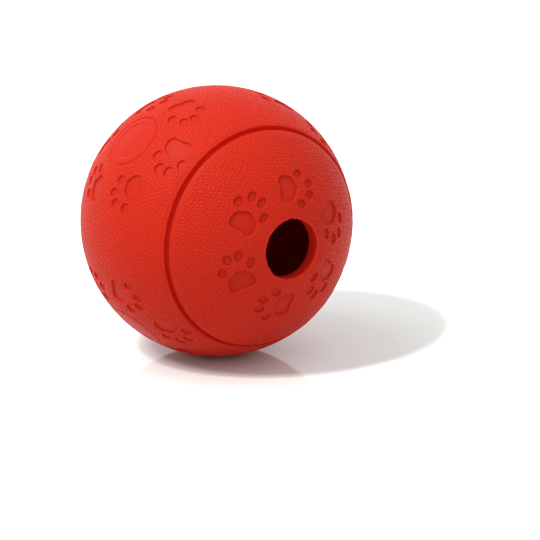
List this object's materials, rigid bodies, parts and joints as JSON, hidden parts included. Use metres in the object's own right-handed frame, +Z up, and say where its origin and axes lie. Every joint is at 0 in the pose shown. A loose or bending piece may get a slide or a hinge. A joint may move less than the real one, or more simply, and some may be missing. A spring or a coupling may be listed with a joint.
{
  "type": "treat dispensing ball",
  "caption": "Hollow rubber pet ball with a round treat mouth, a pull-off front cap, seam grooves and paw prints pressed into a pebbled skin.",
  "frame": {"origin": "centre of the ball", "axes": "+Z up with the ball as it lies in the picture, -Y out of the treat mouth"},
  "size_m": [0.08, 0.0786, 0.08],
  "materials": {
    "red_rubber": "satin, moulded with a fine pebble grain"
  },
  "bodies": {
    "shell": {"centre_band": "red_rubber", "rear_cap": "red_rubber"},
    "cap": {"front_cap": "red_rubber"}
  },
  "joints": [
    {"name": "cap_pull", "type": "slide", "parent": "shell", "child": "cap", "axis": [0, -1, 0], "range_m": [0, 0.04]}
  ]
}
